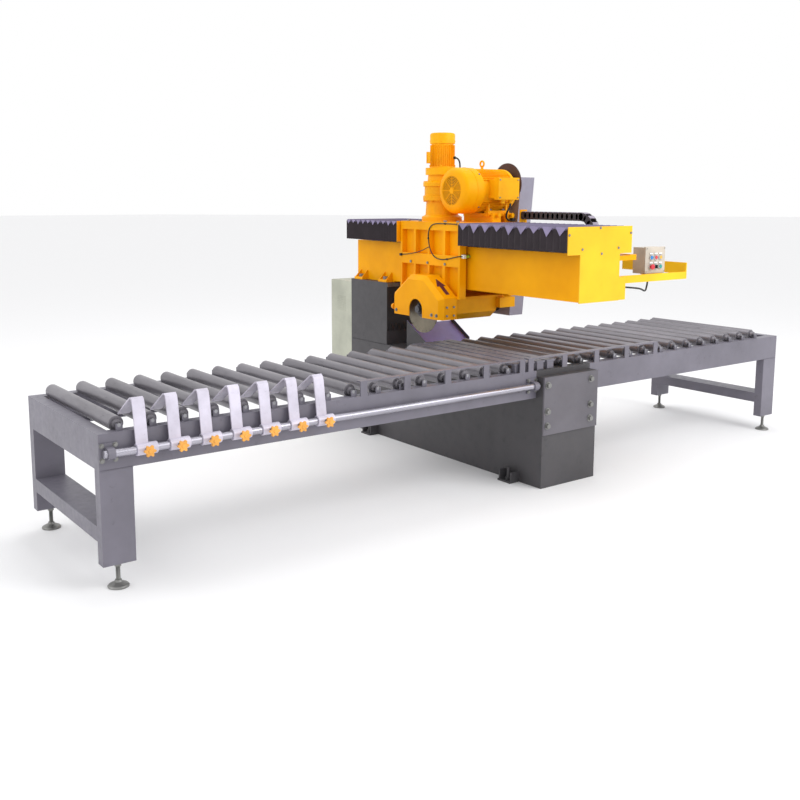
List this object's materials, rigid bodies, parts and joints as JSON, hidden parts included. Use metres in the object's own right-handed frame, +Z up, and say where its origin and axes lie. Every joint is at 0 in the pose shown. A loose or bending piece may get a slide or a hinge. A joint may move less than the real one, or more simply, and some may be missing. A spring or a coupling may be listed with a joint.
{
  "type": "stone bridge strip saw",
  "caption": "Cantilever masonry saw: a belt-driven blade head rides a beam across a long roller table with flip-over stops.",
  "frame": {"origin": "middle of the machine's footprint on the floor", "axes": "+X along the roller table from its infeed end, +Y from the operator's side to the column, +Z up"},
  "size_m": [5.65, 2.748, 2.37],
  "materials": {
    "base_paint": "satin",
    "bellows": "matt",
    "belt_rubber": "matt",
    "blade_steel": "worn",
    "box_paint": "satin",
    "bronze": "machined",
    "button_black": "gloss",
    "button_blue": "gloss",
    "button_red": "gloss",
    "button_teal": "gloss",
    "button_yellow": "gloss",
    "cabinet_paint": "textured",
    "cable": "matt",
    "casting": "painted",
    "chain_plastic": "matt",
    "chrome_rod": "polished",
    "cover_paint": "satin",
    "curtain": "matt",
    "frame_paint": "satin",
    "guard_paint": "satin",
    "motor_grey": "satin",
    "plate_paint": "satin",
    "pulley_iron": "machined",
    "ramp_paint": "satin",
    "roller_steel": "satin",
    "sensor_body": "matt",
    "steel": "brushed",
    "stop_grey": "satin",
    "yellow_paint": "satin",
    "zinc": "satin"
  },
  "bodies": {
    "machine": {"infeed_frame": "frame_paint", "outfeed_frame": "frame_paint", "levelling_feet": "zinc", "base": "base_paint", "joint_plate": "plate_paint", "bolts": "zinc", "column": "base_paint", "beam": "yellow_paint", "beam_cover": "cover_paint", "guide_rails": "steel", "front_bellows": "bellows", "rear_bellows": "bellows", "roller_axles": "steel", "infeed_rollers": "roller_steel", "outfeed_rollers": "roller_steel", "bed_strips": "frame_paint", "fences": "frame_paint", "stop_rod": "chrome_rod", "splash_ramp": "ramp_paint", "rubber_curtain": "curtain", "cabinet": "cabinet_paint", "control_arm": "cover_paint", "control_box": "box_paint", "drag_chain": "chain_plastic", "traverse_motor": "motor_grey"},
    "carriage": {"saddle": "steel", "lift_nut": "bronze"},
    "saw_head": {"head_frame": "yellow_paint", "lift_gearbox": "casting", "lift_motor": "casting", "saw_motor": "casting", "fan_cowl": "yellow_paint", "motor_slide": "yellow_paint", "spindle_housing": "casting", "drive_belts": "belt_rubber", "belt_guard": "guard_paint", "blade_guard": "yellow_paint", "sensor": "sensor_body", "sensor_cable": "cable"},
    "lift_screw": {"lift_screw": "steel"},
    "traverse_screw": {"traverse_screw": "steel"},
    "spindle": {"spindle": "pulley_iron", "saw_blade": "blade_steel"},
    "motor_rotor": {"motor_pulley": "pulley_iron"},
    "cabinet_door": {"cabinet_door": "cabinet_paint"},
    "roller_1": {"roller_1": "roller_steel"},
    "roller_2": {"roller_2": "roller_steel"},
    "stop_1": {"stop_1": "stop_grey"},
    "stop_2": {"stop_2": "stop_grey"},
    "stop_3": {"stop_3": "stop_grey"},
    "stop_4": {"stop_4": "stop_grey"},
    "stop_5": {"stop_5": "stop_grey"},
    "stop_6": {"stop_6": "stop_grey"},
    "stop_7": {"stop_7": "stop_grey"},
    "button_1": {"button_1": "button_blue"},
    "button_2": {"button_2": "button_red"},
    "button_3": {"button_3": "button_yellow"},
    "button_4": {"button_4": "button_red"},
    "button_5": {"button_5": "button_black"},
    "button_6": {"button_6": "button_teal"}
  },
  "joints": [
    {"name": "carriage_slide", "type": "slide", "parent": "machine", "child": "carriage", "axis": [0, 1, 0], "range_m": [-0.88, 0.1], "deforming": ["front_bellows", "rear_bellows", "drag_chain"]},
    {"name": "traverse_screw_spin", "type": "hinge", "parent": "machine", "child": "traverse_screw", "pos_m": [0.322, -0.384, 1.58], "axis": [0, 1, 0], "range_deg": [-15900, 1860]},
    {"name": "head_slide", "type": "slide", "parent": "carriage", "child": "saw_head", "axis": [0, 0, 1], "range_m": [-0.075, 0.055]},
    {"name": "lift_screw_spin", "type": "hinge", "parent": "saw_head", "child": "lift_screw", "pos_m": [0.322, 0.212, 1.75], "axis": [0, 0, 1], "range_deg": [-4560, 3360]},
    {"name": "spindle_spin", "type": "hinge", "parent": "saw_head", "child": "spindle", "pos_m": [-0.02, 0.001, 1.089], "axis": [1, 0, 0], "continuous": true},
    {"name": "motor_spin", "type": "hinge", "parent": "saw_head", "child": "motor_rotor", "pos_m": [0.522, -0.101, 1.942], "axis": [1, 0, 0], "continuous": true},
    {"name": "cabinet_door_hinge", "type": "hinge", "parent": "machine", "child": "cabinet_door", "pos_m": [0.562, 1.358, 0.742], "axis": [0, 0, -1], "range_deg": [0, 110]},
    {"name": "roller_1_spin", "type": "hinge", "parent": "machine", "child": "roller_1", "pos_m": [-2.71, -0.527, 0.806], "axis": [0, 1, 0], "continuous": true},
    {"name": "roller_2_spin", "type": "hinge", "parent": "machine", "child": "roller_2", "pos_m": [-2.54, -0.527, 0.806], "axis": [0, 1, 0], "continuous": true},
    {"name": "stop_1_pivot", "type": "hinge", "parent": "machine", "child": "stop_1", "pos_m": [-2.625, -1.118, 0.688], "axis": [1, 0, 0], "range_deg": [0, 88]},
    {"name": "stop_2_pivot", "type": "hinge", "parent": "machine", "child": "stop_2", "pos_m": [-2.455, -1.118, 0.688], "axis": [1, 0, 0], "range_deg": [0, 88]},
    {"name": "stop_3_pivot", "type": "hinge", "parent": "machine", "child": "stop_3", "pos_m": [-2.285, -1.118, 0.688], "axis": [1, 0, 0], "range_deg": [0, 88]},
    {"name": "stop_4_pivot", "type": "hinge", "parent": "machine", "child": "stop_4", "pos_m": [-2.115, -1.118, 0.688], "axis": [1, 0, 0], "range_deg": [0, 88]},
    {"name": "stop_5_pivot", "type": "hinge", "parent": "machine", "child": "stop_5", "pos_m": [-1.945, -1.118, 0.688], "axis": [1, 0, 0], "range_deg": [0, 88]},
    {"name": "stop_6_pivot", "type": "hinge", "parent": "machine", "child": "stop_6", "pos_m": [-1.775, -1.118, 0.688], "axis": [1, 0, 0], "range_deg": [0, 88]},
    {"name": "stop_7_pivot", "type": "hinge", "parent": "machine", "child": "stop_7", "pos_m": [-1.605, -1.118, 0.688], "axis": [1, 0, 0], "range_deg": [0, 88]},
    {"name": "button_1_press", "type": "slide", "parent": "machine", "child": "button_1", "axis": [0, 1, 0], "range_m": [0, 0.004], "stiffness_N_per_m": 600},
    {"name": "button_2_press", "type": "slide", "parent": "machine", "child": "button_2", "axis": [0, 1, 0], "range_m": [0, 0.004], "stiffness_N_per_m": 600},
    {"name": "button_3_press", "type": "slide", "parent": "machine", "child": "button_3", "axis": [0, 1, 0], "range_m": [0, 0.004], "stiffness_N_per_m": 600},
    {"name": "emergency_stop_press", "type": "slide", "parent": "machine", "child": "button_4", "axis": [0, 1, 0], "range_m": [0, 0.006], "stiffness_N_per_m": 900},
    {"name": "selector_turn", "type": "hinge", "parent": "machine", "child": "button_5", "pos_m": [0.978, -1.284, 1.434], "axis": [0, 1, 0], "range_deg": [-45, 45]},
    {"name": "button_6_press", "type": "slide", "parent": "machine", "child": "button_6", "axis": [0, 1, 0], "range_m": [0, 0.004], "stiffness_N_per_m": 600}
  ],
  "couplings": [
    {"joint": "traverse_screw_spin", "follows": "carriage_slide", "rad_per_m": 314.16},
    {"joint": "lift_screw_spin", "follows": "head_slide", "rad_per_m": 1047.2},
    {"joint": "motor_spin", "follows": "spindle_spin", "ratio": 0.77273}
  ]
}
